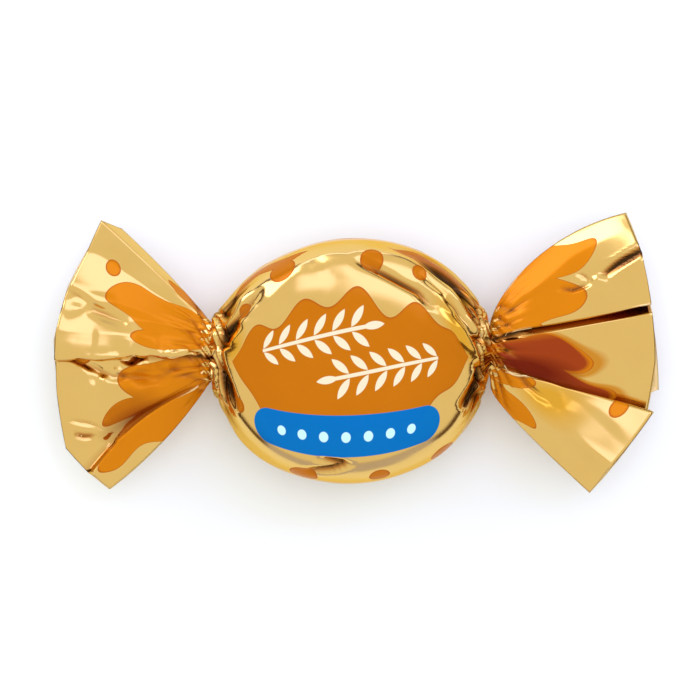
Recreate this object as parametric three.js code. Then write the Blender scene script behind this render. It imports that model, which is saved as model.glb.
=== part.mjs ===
// A caramel sweet in a double-twist foil wrapper, lying down with its printed side up.
// It is one closed solid: the filled body, the two gathered necks, and the two fans of film,
// which are thin-walled, pleated and open at their mouths.
// Sizes are in millimetres. +X runs along the wrapper, +Y across it and +Z is up.
// The origin is on the surface that the sweet rests on, below the middle of its body.

import * as THREE from "three";

// The filled body: half of an egg-like oval's length, width and depth.
const BODY_HALF_LENGTH = 12.55;
const BODY_HALF_WIDTH = 11.0;
const BODY_HALF_DEPTH = 7.1;
// Below 1, the body's shoulders are fuller than an oval's, seen from above.
const SHOULDER = 0.92;
// Above 2, they are fuller than an oval's seen from the side.
const END_FULLNESS = 3.2;
// Above 2, the body's cross-section is fuller than an oval's, so that its printed side is flatter.
const SQUARENESS = 3.4;
// The body leans a little, so that its fullest places lie off the long axis.
const BODY_LEAN = 0.2;
// The body is pressed into a flat where it rests.
const REST_DEPTH = 0.3;
// Height of the wrapper's long axis above the resting surface.
const AXIS_HEIGHT = BODY_HALF_DEPTH - REST_DEPTH;
// The body's oval ends here, in degrees of its own arc, and the neck begins.
const BODY_ARC = 75;

const FILM_WALL = 0.2;

// Grid of the surface: columns run along the wrapper, rings go round it.
const COLUMNS = 72;
const BODY_RINGS = 28;
const FAN_RINGS = 12;
// Above 1, a fan's rings crowd towards its neck.
const FAN_RING_SPACING = 1.25;

// The hollow of a fan starts at this share of its length, and ends in a point nearer the neck.
const HOLLOW_START = 0.3;
const HOLLOW_POINT = 0.16;
// The hollow stays clear of the neck's wall by this much, and of the fan's top and bottom edges
// by this angle and, at the rim, by this length.
const NECK_WALL = 0.3;
const EDGE_WALL_DEGREES = 3;
const EDGE_LIP = 0.15;

// Pleats that the twist gathers round each neck, and how far they run on, in mm.
const GATHER_PLEATS = 12;
const GATHER_DEPTH = 0.5;
const GATHER_ON_BODY = 5.0;
const GATHER_ON_FAN = 2.0;
// Turns of twist in each mm along a neck.
const TWIST = 0.013;

// Between two folds the rim swells past the straight line that joins them, by this share of a full arc.
const RIM_ARC = 0.35;

// A flap stands up by this much, most of all at this share of its length, to clear the panel below.
const FLAP_LIFT = 0.3;
const FLAP_LIFT_AT = 0.25;

// Each fan is a loop of panels between folds. A fold is a line from the neck to the rim:
//   column  its place round the film, from 0 at the top edge, over the printed side and the bottom edge
//   angle   its direction at the rim, seen from above, in degrees from straight out towards +Y
//   reach   its length, seen from above, from the neck's centre to the rim
//   height  of its rim end over the wrapper's axis
//   bow     how far its middle swells towards +Y, and bowAt how far along the fold that is
//   flap    the fold is the edge of a flap that lies over the next panel, its layers pressed together
const LEFT_FAN = {
  side: -1,
  neck: { x: 12.55, y: 0.85, halfWidth: 2.55, halfDepth: 1.9 },
  length: 14.5,
  folds: [
    { column: 0, angle: 54, reach: 13.7, height: -0.2, bow: 0.35, bowAt: 0.4 },
    { column: 3, angle: 50.3, reach: 15.4, height: 0.7, flap: true },
    { column: 6, angle: 38.3, reach: 14.25, height: 0.9, bow: 0.6, bowAt: 0.85 },
    { column: 10, angle: 24.6, reach: 13.9, height: 2.0 },
    { column: 12, angle: 19.5, reach: 13.92, height: 2.05 },
    { column: 14, angle: 8, reach: 13.95, height: 2.75 },
    { column: 18, angle: -3, reach: 14.0, height: 2.8, flap: true },
    { column: 19, angle: -3.5, reach: 14.0, height: 2.0, flap: true },
    { column: 21, angle: 4, reach: 13.9, height: 1.4 },
    { column: 25, angle: -15, reach: 14.3, height: 1.7 },
    { column: 29, angle: -33.7, reach: 15.65, height: 1.0 },
    { column: 31, angle: -44.6, reach: 15.5, height: 0.5, bow: 1.3, bowAt: 0.6 },
    { column: 33, angle: -46, reach: 15.4, height: 1.3, bow: 1.3, bowAt: 0.6, flap: true },
    { column: 36, angle: -53.7, reach: 15.4, height: 0.2, bow: -0.9, bowAt: 0.45 },
    { column: 43, angle: -34, reach: 15.5, height: -1.8 },
    { column: 49, angle: -16, reach: 14.3, height: -0.9 },
    { column: 56, angle: 4, reach: 14.3, height: -2.0 },
    { column: 62, angle: 24, reach: 14.2, height: -1.1 },
    { column: 68, angle: 42, reach: 14.6, height: -1.4 },
  ],
};

const RIGHT_FAN = {
  side: 1,
  neck: { x: 12.55, y: 0.99, halfWidth: 2.1, halfDepth: 1.7 },
  length: 15.5,
  folds: [
    { column: 0, angle: 45.3, reach: 17.4, height: 0.3, bow: 2.7, bowAt: 0.35 },
    { column: 4, angle: 33.5, reach: 16.15, height: 2.6, bow: 1.4, bowAt: 0.35 },
    { column: 10, angle: 15.5, reach: 14.95, height: 2.8, flap: true },
    { column: 11, angle: 15, reach: 14.95, height: 2.0, flap: true },
    { column: 13, angle: 20, reach: 15.0, height: 0.5 },
    { column: 15, angle: 12.6, reach: 14.9, height: 1.8 },
    { column: 18, angle: -4, reach: 14.9, height: 0.6 },
    { column: 24, angle: -26, reach: 15.5, height: -0.7 },
    { column: 26, angle: -20.5, reach: 15.4, height: 0.5, flap: true },
    { column: 27, angle: -20.8, reach: 15.7, height: 1.2, flap: true },
    { column: 31, angle: -44, reach: 15.06, height: 2.2 },
    { column: 36, angle: -55.2, reach: 15.65, height: 0.8, bow: -1.65, bowAt: 0.13 },
    { column: 43, angle: -36, reach: 15.3, height: -1.9 },
    { column: 49, angle: -16, reach: 14.5, height: -1.0 },
    { column: 52, angle: -13.3, reach: 15.7, height: -1.7 },
    { column: 59, angle: 8, reach: 15.0, height: -2.0 },
    { column: 65, angle: 26, reach: 15.5, height: -1.3 },
    { column: 69, angle: 38, reach: 16.4, height: -1.3, bow: 1.8, bowAt: 0.35 },
  ],
};

const { degToRad: radians, lerp } = THREE.MathUtils;
const turnOf = (column) => (2 * Math.PI * column) / COLUMNS;

// 0 at both ends of a fold and 1 at peakAt.
function swell(t, peakAt) {
  const power = peakAt / (1 - peakAt);
  const peak = peakAt ** power * (1 - peakAt);
  return (t ** power * (1 - t)) / peak;
}

// The end of a fold on the rim: outwards and across from the neck's centre, and up.
function rimEnd(fold) {
  const out = fold.reach * Math.cos(radians(fold.angle));
  const across = fold.reach * Math.sin(radians(fold.angle));
  return new THREE.Vector3(out, across, fold.height);
}

// The folds on either side of a column, and how far it lies from the first to the second.
function panelAt(fan, column) {
  const after = fan.folds.findIndex((fold) => fold.column > column);
  const last = fan.folds.at(after < 0 ? -1 : after - 1);
  const next = after < 0 ? { ...fan.folds[0], column: COLUMNS } : fan.folds[after];
  return { last, next, between: (column - last.column) / (next.column - last.column) };
}

// A point of a fan's outer surface: t runs from 0 at the neck to 1 at the rim.
function fanPoint(fan, t, column) {
  const { neck } = fan;
  const turn = turnOf(column);
  const start = new THREE.Vector3(0, neck.halfWidth * Math.cos(turn), neck.halfDepth * Math.sin(turn));
  const { last, next, between } = panelAt(fan, column);
  const end = rimEnd(last).lerp(rimEnd(next), between);
  const halfSpan = radians(last.angle - next.angle) / 2;
  const arc = 1 + RIM_ARC * 4 * between * (1 - between) * (1 - Math.cos(halfSpan));
  end.x *= arc;
  end.y *= arc;
  const point = start.lerp(end, t);
  const bowOf = (fold) => (fold.bow ? fold.bow * swell(t, fold.bowAt) : 0);
  const liftOf = (fold) => (fold.flap ? FLAP_LIFT * swell(t, FLAP_LIFT_AT) : 0);
  point.y += lerp(bowOf(last), bowOf(next), between);
  point.z += lerp(liftOf(last), liftOf(next), between);
  return new THREE.Vector3(fan.side * (neck.x + point.x), neck.y + point.y, AXIS_HEIGHT + point.z);
}

// A point of the body's oval, at arc degrees from its middle.
// Its axis bends towards the neck on either side, which is a little off centre.
function bodyPoint(arc, column) {
  const fan = arc < 0 ? LEFT_FAN : RIGHT_FAN;
  const turn = turnOf(column);
  const offCentre = fan.neck.y * (Math.abs(arc) / BODY_ARC) ** 6;
  const lean = BODY_LEAN * Math.sin(2 * radians(arc));
  const full = Math.abs(Math.cos(turn)) ** SQUARENESS + Math.abs(Math.sin(turn)) ** SQUARENESS;
  const round = full ** (-1 / SQUARENESS);
  const wide = Math.cos(radians(arc)) ** SHOULDER;
  const deep = (1 - Math.sin(radians(Math.abs(arc))) ** END_FULLNESS) ** (1 / END_FULLNESS);
  return new THREE.Vector3(
    BODY_HALF_LENGTH * Math.sin(radians(arc)),
    offCentre + lean + BODY_HALF_WIDTH * wide * round * Math.cos(turn),
    AXIS_HEIGHT + BODY_HALF_DEPTH * deep * round * Math.sin(turn),
  );
}

const ringOf = (pointAt) => Array.from({ length: COLUMNS }, (_, column) => pointAt(column));

const alongFan = (step) => (step / FAN_RINGS) ** FAN_RING_SPACING;

// A ring of the surface: its points, how strongly the twist pleats it, and how far in turns it
// turns those pleats.
function fanRing(fan, step) {
  const t = alongFan(step);
  const fromNeck = t * fan.length;
  return {
    points: ringOf((column) => fanPoint(fan, t, column)),
    gather: Math.exp(-((fromNeck / GATHER_ON_FAN) ** 2)),
    twist: fan.side * fromNeck * TWIST,
  };
}

function bodyRing(step) {
  const arc = lerp(-BODY_ARC, BODY_ARC, step / (BODY_RINGS - 1));
  const fromNeck = BODY_HALF_LENGTH * radians(BODY_ARC - Math.abs(arc));
  return {
    points: ringOf((column) => bodyPoint(arc, column)),
    gather: Math.exp(-((fromNeck / GATHER_ON_BODY) ** 2)),
    twist: -Math.sign(arc) * fromNeck * TWIST,
  };
}

// The outer surface, ring by ring from the left mouth to the right one.
function outerRings() {
  const steps = (count, ringAt) => Array.from({ length: count }, (_, step) => ringAt(step));
  const leftFan = steps(FAN_RINGS + 1, (step) => fanRing(LEFT_FAN, step));
  const rightFan = steps(FAN_RINGS + 1, (step) => fanRing(RIGHT_FAN, step));
  return [...leftFan.reverse(), ...steps(BODY_RINGS, bodyRing), ...rightFan];
}

// Outward normals of the rings' points, from each point's neighbours.
function normalsOf(rings) {
  return rings.map(({ points }, k) => {
    const before = rings[Math.max(k - 1, 0)].points;
    const after = rings[Math.min(k + 1, rings.length - 1)].points;
    return points.map((_, column) => {
      const along = after[column].clone().sub(before[column]);
      const onward = points[(column + 1) % COLUMNS].clone();
      const round = onward.sub(points[(column + COLUMNS - 1) % COLUMNS]);
      return round.cross(along).normalize();
    });
  });
}

// Pleats with sharp valleys and uneven widths: -1 in a valley, 0 on a crest.
// They fade out towards the top and bottom edges.
function pleat(column, twist) {
  const turn = turnOf(column);
  const uneven = 0.35 * Math.sin(3 * turn + 1) + 0.2 * Math.sin(5 * turn);
  const phase = (GATHER_PLEATS * (turn + 2 * Math.PI * twist)) / 2 + Math.PI * uneven;
  return (Math.abs(Math.sin(phase)) - 1) * Math.sqrt(Math.abs(Math.sin(turn)));
}

function gatherPleats(rings) {
  const normals = normalsOf(rings);
  rings.forEach((ring, k) =>
    ring.points.forEach((point, column) => {
      const depth = GATHER_DEPTH * ring.gather * pleat(column, ring.twist);
      point.addScaledVector(normals[k][column], depth);
    }),
  );
}

function pressFlat(rings) {
  for (const { points } of rings) {
    for (const point of points) point.z = Math.max(point.z, 0);
  }
}

// The folds of a fan's hollow, inside those of its film. It doesn't reach into the flaps.
function hollowOf(fan) {
  const folds = fan.folds.filter((fold) => !fold.flap).map((fold) => {
    if (fold.column % (COLUMNS / 2) === 0) {
      const drawnIn = EDGE_WALL_DEGREES * Math.sign(fold.angle);
      return { ...fold, angle: fold.angle - drawnIn, reach: fold.reach - EDGE_LIP };
    }
    const up = fold.column < COLUMNS / 2 ? 1 : -1;
    return { ...fold, height: fold.height - up * FILM_WALL };
  });
  const neck = {
    ...fan.neck,
    halfWidth: fan.neck.halfWidth - NECK_WALL,
    halfDepth: fan.neck.halfDepth - NECK_WALL,
  };
  return { ...fan, neck, folds };
}

// The inner face of a fan's film, from the rim to where the hollow starts.
function hollowRings(fan) {
  const hollow = hollowOf(fan);
  const rings = [];
  for (let step = FAN_RINGS; alongFan(step) >= HOLLOW_START; step--) {
    rings.push(ringOf((column) => fanPoint(hollow, alongFan(step), column)));
  }
  return rings;
}

// The point in the neck where a fan's hollow ends.
function hollowPoint({ side, neck, length }) {
  return new THREE.Vector3(side * (neck.x + length * HOLLOW_POINT), neck.y, AXIS_HEIGHT);
}

// Closes rings of points and a point at either end into one surface that faces out.
function closedSurface(firstPoint, rings, lastPoint) {
  const first = rings.length * COLUMNS;
  const last = first + 1;
  const faces = [];
  for (let column = 0; column < COLUMNS; column++) {
    const onward = (column + 1) % COLUMNS;
    faces.push(first, onward, column);
    for (let here = 0; here < first - COLUMNS; here += COLUMNS) {
      const next = here + COLUMNS;
      faces.push(here + column, here + onward, next + onward);
      faces.push(here + column, next + onward, next + column);
    }
    faces.push(first - COLUMNS + column, first - COLUMNS + onward, last);
  }
  const geometry = new THREE.BufferGeometry();
  geometry.setFromPoints([...rings.flat(), firstPoint, lastPoint]);
  geometry.setIndex(faces);
  geometry.computeVertexNormals();
  return geometry;
}

function wrapperGeometry() {
  const rings = outerRings();
  gatherPleats(rings);
  pressFlat(rings);
  const outer = rings.map(({ points }) => points);
  const all = [...hollowRings(LEFT_FAN).reverse(), ...outer, ...hollowRings(RIGHT_FAN)];
  return closedSurface(hollowPoint(LEFT_FAN), all, hollowPoint(RIGHT_FAN));
}

const goldFilm = new THREE.MeshStandardMaterial({ color: 0xdeb869, roughness: 0.25, metalness: 1 });

const wrappedCandy = new THREE.Mesh(wrapperGeometry(), goldFilm);
wrappedCandy.name = "wrapped_candy";

const sweet = new THREE.Group();
sweet.add(wrappedCandy);

export default sweet;
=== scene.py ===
"""A caramel sweet in a double-twist wrapper of gold film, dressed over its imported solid.

The wrapper is one surface of film. It is worked out in millimetres from the solid's own sizes, as
rings round the wrapper's long axis, which runs along X, and columns along it. Rings run from the
left mouth to the right one. The scene is lit as a bright tent and seen from above.
"""
import math
from functools import reduce

import bpy
import numpy as np
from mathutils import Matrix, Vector


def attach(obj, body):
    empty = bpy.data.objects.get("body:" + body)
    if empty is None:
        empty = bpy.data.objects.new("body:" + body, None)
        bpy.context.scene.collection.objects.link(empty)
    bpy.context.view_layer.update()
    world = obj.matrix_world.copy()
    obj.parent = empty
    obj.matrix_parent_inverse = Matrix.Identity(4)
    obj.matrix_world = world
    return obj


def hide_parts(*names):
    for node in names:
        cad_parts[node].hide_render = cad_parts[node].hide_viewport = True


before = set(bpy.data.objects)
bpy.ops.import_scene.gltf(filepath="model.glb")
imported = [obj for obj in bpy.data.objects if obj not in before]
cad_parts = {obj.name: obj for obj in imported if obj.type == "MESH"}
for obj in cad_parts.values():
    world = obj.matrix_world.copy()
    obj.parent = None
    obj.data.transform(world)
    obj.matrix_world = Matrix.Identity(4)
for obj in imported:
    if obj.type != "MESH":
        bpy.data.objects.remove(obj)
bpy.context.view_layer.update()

MM = 0.001

# ------------------------ sizes of the solid, in mm

# Half of the body's length, width and depth.
BODY_HALF_LENGTH = 12.55
BODY_HALF_WIDTH = 11.0
BODY_HALF_DEPTH = 7.1
# Below 1, the body's shoulders are fuller than an oval's, seen from above.
SHOULDER = 0.92
# Above 2, they are fuller than an oval's seen from the side.
END_FULLNESS = 3.2
# Above 2, the body's cross-section is fuller than an oval's, so that its printed side is flatter.
SQUARENESS = 3.4
# The body's fullest places lie this far off its axis, towards +Y in the right half.
BODY_LEAN = 0.2
# The body is pressed into a flat where it rests.
REST_DEPTH = 0.3
AXIS_HEIGHT = BODY_HALF_DEPTH - REST_DEPTH
# The body's oval ends here, in degrees of its own arc, and the neck begins.
BODY_ARC = 75.0
# Between two folds the rim swells past the straight line that joins them, by this share of an arc.
RIM_ARC = 0.35
# A flap stands up by this much, most of all at this share of its length.
FLAP_LIFT = 0.3
FLAP_LIFT_AT = 0.25

# Places round the film are numbered from 0 at the top edge, over the middle of the printed side,
# the bottom edge and the middle of the back, to PLACES at the top edge again.
PLACES = 72
FRONT_MIDDLE = PLACES // 4
BOTTOM_EDGE = PLACES // 2
BACK_MIDDLE = 3 * PLACES // 4


class Fan:
    """One end of the wrapper, on side -1, the left, or +1, the right.

    neck is the neck's place along X and Y, and half its width and depth. length is that of the
    film beyond the neck, and collar how far out the film bulges at the neck. A fold has its
    place, its direction at the rim in degrees towards +Y, its reach from the neck's centre, and
    its height over the axis. bows says, by a fold's place, how far its middle bows towards +Y
    and where along it. flaps are the places of flaps' edges. gaps are the places where painted
    shade under a flap begins, is deepest and ends, and how dark it is there.
    """

    def __init__(self, side, neck, length, collar, folds, bows, flaps, gaps):
        self.side, self.length, self.collar = side, length, collar
        self.neck_x, self.neck_y, self.half_width, self.half_depth = neck
        first_again = (PLACES, *folds[0][1:])
        self.place, self.angle, self.reach, self.height = np.array([*folds, first_again]).T
        self.bows, self.flaps, self.gaps = bows, flaps, gaps


LEFT = Fan(
    side=-1,
    neck=(12.55, 0.85, 2.55, 1.9),
    length=14.5,
    collar=0.3,
    folds=(
        (0, 54, 13.7, -0.2),
        (3, 50.3, 15.4, 0.7),
        (6, 38.3, 14.25, 0.9),
        (10, 24.6, 13.9, 2.0),
        (12, 19.5, 13.92, 2.05),
        (14, 8, 13.95, 2.75),
        (18, -3, 14.0, 2.8),
        (19, -3.5, 14.0, 2.0),
        (21, 4, 13.9, 1.4),
        (25, -15, 14.3, 1.7),
        (29, -33.7, 15.65, 1.0),
        (31, -44.6, 15.5, 0.5),
        (33, -46, 15.4, 1.3),
        (36, -53.7, 15.4, 0.2),
        (43, -34, 15.5, -1.8),
        (49, -16, 14.3, -0.9),
        (56, 4, 14.3, -2.0),
        (62, 24, 14.2, -1.1),
        (68, 42, 14.6, -1.4),
    ),
    bows={0: (0.35, 0.4), 6: (0.6, 0.85), 31: (1.3, 0.6), 33: (1.3, 0.6), 36: (-0.9, 0.45)},
    flaps=(3, 18, 19, 33),
    gaps=((18.6, 20.6, 22.6, 1.0), (30.4, 31.6, 33.0, 0.5)),
)
RIGHT = Fan(
    side=1,
    neck=(12.55, 0.99, 2.1, 1.7),
    length=15.5,
    collar=0.1,
    folds=(
        (0, 45.3, 17.4, 0.3),
        (4, 33.5, 16.15, 2.6),
        (10, 15.5, 14.95, 2.8),
        (11, 15, 14.95, 2.0),
        (13, 20, 15.0, 0.5),
        (15, 12.6, 14.9, 1.8),
        (18, -4, 14.9, 0.6),
        (24, -26, 15.5, -0.7),
        (26, -20.5, 15.4, 0.5),
        (27, -20.8, 15.7, 1.2),
        (31, -44, 15.06, 2.2),
        (36, -55.2, 15.65, 0.8),
        (43, -36, 15.3, -1.9),
        (49, -16, 14.5, -1.0),
        (52, -13.3, 15.7, -1.7),
        (59, 8, 15.0, -2.0),
        (65, 26, 15.5, -1.3),
        (69, 38, 16.4, -1.3),
    ),
    bows={0: (2.7, 0.35), 4: (1.4, 0.35), 36: (-1.65, 0.13), 69: (1.8, 0.35)},
    flaps=(10, 11, 26, 27),
    gaps=((10.4, 13.0, 15.0, 1.0), (23.6, 25.4, 26.6, 1.0)),
)

# ------------------------ sizes of the dressed film, in mm

# The mesh: rings, and columns in each place on the printed side and on the back.
FAN_RINGS = 60
BODY_RINGS = 90
FRONT_COLUMNS = 5
BACK_COLUMNS = 3
# Above 1, a fan's rings crowd towards its neck.
FAN_RING_SPACING = 1.25
# The film's thickness in the fans, its length round the body, and its length from the body's
# middle to a neck.
FILM_WALL = 0.06
FILM_GIRTH = 66.0
FILM_TO_NECK = BODY_HALF_LENGTH * math.radians(BODY_ARC)
# The hollow of a fan starts at this share of its length, and ends in a point nearer the neck.
HOLLOW_START = 0.1
HOLLOW_POINT = 0.04

# The place of each column.
PLACE = np.concatenate(
    [
        np.arange(BOTTOM_EDGE * FRONT_COLUMNS) / FRONT_COLUMNS,
        BOTTOM_EDGE + np.arange((PLACES - BOTTOM_EDGE) * BACK_COLUMNS) / BACK_COLUMNS,
    ]
)
COLUMNS = len(PLACE)

# ------------------------ shared arithmetic

WAVE_COUNT = 7
WAVELENGTH_SPREAD = (0.7, 1.5)
# The lines between facets bend by this share of a facet, over this many facets.
FACET_BEND = 0.5
FACET_BEND_LENGTH = 6
# Facets repeat after this many in a row.
FACET_GRID = 32


def smoothstep(low, high, x):
    t = np.clip((x - low) / (high - low), 0, 1)
    return t * t * (3 - 2 * t)


def turned(x, y, at, heading):
    """How far (x, y) lies from the point at, along a heading in degrees and to the left of it."""
    run, rise = math.cos(math.radians(heading)), math.sin(math.radians(heading))
    x, y = x - at[0], y - at[1]
    return x * run + y * rise, y * run - x * rise


def fading(x, y):
    """1 in the middle of a spot, about a third at its rim, where (x, y) is 1 long, and 0 beyond."""
    return np.exp(-((x**2 + y**2) ** 2))


def waves(x, y, wavelength, seed):
    """Soft uneven ground between about -1 and 1, from waves in seeded directions."""
    rng = np.random.default_rng(seed)
    total = np.zeros(np.broadcast(x, y).shape)
    for _ in range(WAVE_COUNT):
        heading, phase = rng.uniform(0, 2 * math.pi, 2)
        k = 2 * math.pi / (wavelength * rng.uniform(*WAVELENGTH_SPREAD))
        total += np.sin(k * (x * math.cos(heading) + y * math.sin(heading)) + phase)
    return total / math.sqrt(WAVE_COUNT)


def facets(x, y, cell, seed):
    """Crumpled ground: flat triangles with sides of about cell, and corners from -1 to 1 high."""
    heights = np.random.default_rng(seed).uniform(-1, 1, (FACET_GRID, FACET_GRID))
    bend = FACET_BEND * waves(x, y, FACET_BEND_LENGTH * cell, seed + 100)
    x, y = x / cell + bend, y / cell - bend
    skew = (x + y) * (math.sqrt(3) - 1) / 2
    column, row = np.floor(x + skew).astype(int), np.floor(y + skew).astype(int)
    right, up = x + skew - column, y + skew - row
    most, least = np.maximum(right, up), np.minimum(right, up)
    lower = (right > up).astype(int)
    near = heights[column % FACET_GRID, row % FACET_GRID]
    beside = heights[(column + lower) % FACET_GRID, (row + 1 - lower) % FACET_GRID]
    far = heights[(column + 1) % FACET_GRID, (row + 1) % FACET_GRID]
    return near * (1 - most) + beside * (most - least) + far * least


# ------------------------ the plain wrapper


def swell(t, peak_at):
    """0 at both ends of a fold and 1 at peak_at."""
    power = peak_at / (1 - peak_at)
    peak = peak_at**power * (1 - peak_at)
    return t**power * (1 - t) / peak


def hat(fan, at, place):
    """1 on the fold at a place, falling to 0 at the folds on either side of it."""
    return np.interp(place, fan.place, fan.place % PLACES == at)


def fan_surface(fan, t, place):
    """The fan's outer face: t is a column of steps from the neck to the rim, place a row."""
    turn = 2 * math.pi * place / PLACES
    start = np.stack([0 * turn, fan.half_width * np.cos(turn), fan.half_depth * np.sin(turn)], -1)
    out = fan.reach * np.cos(np.radians(fan.angle))
    across = fan.reach * np.sin(np.radians(fan.angle))
    end = np.stack([np.interp(place, fan.place, v) for v in (out, across, fan.height)], -1)

    last = np.clip(np.searchsorted(fan.place, place, side="right") - 1, 0, len(fan.place) - 2)
    between = (place - fan.place[last]) / (fan.place[last + 1] - fan.place[last])
    half_span = np.radians(fan.angle[last] - fan.angle[last + 1]) / 2
    arc = 1 + RIM_ARC * 4 * between * (1 - between) * (1 - np.cos(half_span))
    end[..., :2] *= arc[..., None]

    points = start + (end - start) * t[..., None]
    for at, (bow, bow_at) in fan.bows.items():
        points[..., 1] += hat(fan, at, place) * bow * swell(t, bow_at)
    for at in fan.flaps:
        points[..., 2] += hat(fan, at, place) * FLAP_LIFT * swell(t, FLAP_LIFT_AT)
    x = fan.side * (fan.neck_x + points[..., 0])
    return np.stack([x, fan.neck_y + points[..., 1], AXIS_HEIGHT + points[..., 2]], -1)


def body_surface(arc, place):
    """The body's oval: arc is a column of degrees from its middle, place a row."""
    turn = 2 * math.pi * place / PLACES
    off_centre = np.where(arc < 0, LEFT.neck_y, RIGHT.neck_y) * (np.abs(arc) / BODY_ARC) ** 6
    lean = BODY_LEAN * np.sin(2 * np.radians(arc))
    full = np.abs(np.cos(turn)) ** SQUARENESS + np.abs(np.sin(turn)) ** SQUARENESS
    around = full ** (-1 / SQUARENESS)
    wide = np.cos(np.radians(arc)) ** SHOULDER
    deep = (1 - np.sin(np.radians(np.abs(arc))) ** END_FULLNESS) ** (1 / END_FULLNESS)
    x = BODY_HALF_LENGTH * np.sin(np.radians(arc)) + 0 * turn
    y = off_centre + lean + BODY_HALF_WIDTH * wide * around * np.cos(turn)
    z = AXIS_HEIGHT + BODY_HALF_DEPTH * deep * around * np.sin(turn)
    return np.stack([x, y, z], -1)


def normals_of(points):
    """Unit normals of a grid of points, which face out where its rings run from left to right."""
    along = np.gradient(points, axis=0)
    around = np.roll(points, -1, axis=1) - np.roll(points, 1, axis=1)
    normal = np.cross(around, along)
    return normal / np.maximum(np.linalg.norm(normal, axis=-1, keepdims=True), 1e-12)


# ------------------------ pleats, creases and crumple

# The steep side of a pleat is this share as wide as the other one.
PLEAT_STEEP_SIDE = 0.45
# A seeded pleat is up to this many places off its even spacing, and this wide, in places.
PLEAT_SHIFT = 0.8
PLEAT_WIDTHS = (0.5, 1.1)


class Pleat:
    """A valley that runs from a neck: its place, how far on it reaches, its depth, its width."""

    def __init__(self, place, reach, depth, width):
        self.place, self.reach, self.depth, self.width = place, reach, depth, width

    def at(self, place, distance):
        """The pleat's height, below 0, at a distance from the neck."""
        off = (place - self.place + PLACES / 2) % PLACES - PLACES / 2
        width = np.where(off > 0, self.width, PLEAT_STEEP_SIDE * self.width)
        # It widens from half its width at the neck to one and a half times it at its reach.
        width = width * (0.5 + distance / self.reach)
        fade = np.exp(-((distance / self.reach) ** 2))
        return -self.depth * fade * np.exp(-np.abs(off) / width)


def seeded_pleats(seed, first, last, count, reach, depth):
    """Pleats between two places. reach and depth are ranges."""
    rng = np.random.default_rng(seed)
    places = np.linspace(first, last, count) + rng.uniform(-PLEAT_SHIFT, PLEAT_SHIFT, count)
    return [
        Pleat(place, rng.uniform(*reach), rng.uniform(*depth), rng.uniform(*PLEAT_WIDTHS))
        for place in places
    ]


# The long pleats on the body's shoulders that show from above, and seeded ones everywhere else.
LEFT_BODY_PLEATS = [
    Pleat(3.5, 6.5, 0.45, 1.0),
    Pleat(7.5, 5.0, 0.55, 1.2),
    Pleat(12.0, 4.0, 0.5, 1.3),
    Pleat(15.5, 4.5, 0.45, 0.7),
    Pleat(22.0, 2.6, 0.5, 0.9),
    Pleat(28.5, 4.2, 0.6, 1.6),
    Pleat(33.0, 4.8, 0.4, 1.0),
] + seeded_pleats(1, 38, 70, 11, (2.5, 6.5), (0.25, 0.6))
RIGHT_BODY_PLEATS = [
    Pleat(1.5, 9.0, 0.35, 0.8),
    Pleat(4.5, 8.5, 0.6, 1.3),
    Pleat(8.0, 7.5, 0.5, 1.0),
    Pleat(11.5, 5.0, 0.4, 0.8),
    Pleat(14.5, 3.8, 0.45, 0.9),
    Pleat(21.5, 2.4, 0.45, 1.0),
    Pleat(28.0, 3.8, 0.65, 1.9),
    Pleat(33.5, 3.2, 0.4, 1.0),
] + seeded_pleats(2, 38, 70, 11, (2.5, 6.5), (0.25, 0.6))
LEFT_FAN_PLEATS = seeded_pleats(3, 1, 35, 13, (2.2, 6.0), (0.15, 0.4))
LEFT_FAN_PLEATS += seeded_pleats(4, 37, 71, 12, (2.2, 6.0), (0.15, 0.4))
RIGHT_FAN_PLEATS = seeded_pleats(5, 1, 35, 11, (1.8, 5.0), (0.15, 0.4))
RIGHT_FAN_PLEATS += seeded_pleats(6, 37, 71, 12, (2.2, 6.0), (0.15, 0.4))

# Ridges round each neck: how many, how deep, how far they reach on either side, how uneven.
NECK_RIDGES = 14
NECK_RIDGE_DEPTH = 0.42
NECK_RIDGE_REACH = 2.6
NECK_UNEVENNESS = 0.5
# The twist turns them by this share of a full turn, mostly within TWIST_LENGTH of the neck.
TWIST = 0.30
TWIST_LENGTH = 1.6
# The collar takes the place of the pleats within about this distance.
COLLAR_LENGTH = 0.9


def gathers(pleats, place, distance, fan, beyond):
    """How far out the film lies near a neck, at a distance from it.

    beyond is +1 on the fan and -1 on the body.
    """
    twist = beyond * fan.side * TWIST * np.tanh(distance / TWIST_LENGTH)
    turn = 2 * math.pi * (place / PLACES - twist / 2)
    phase = NECK_RIDGES * turn / 2 + NECK_UNEVENNESS * np.sin(3 * turn)
    ridges = (np.abs(np.sin(phase)) - 1) * np.exp(-((distance / NECK_RIDGE_REACH) ** 2))
    deepest = np.min([pleat.at(place, distance) for pleat in pleats], axis=0)
    at_neck = np.exp(-((distance / COLLAR_LENGTH) ** 2))
    return NECK_RIDGE_DEPTH * ridges + deepest * (1 - at_neck) + fan.collar * at_neck


# The line of a crease is rounded off by about this much.
CREASE_ROUND = 0.08


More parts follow.
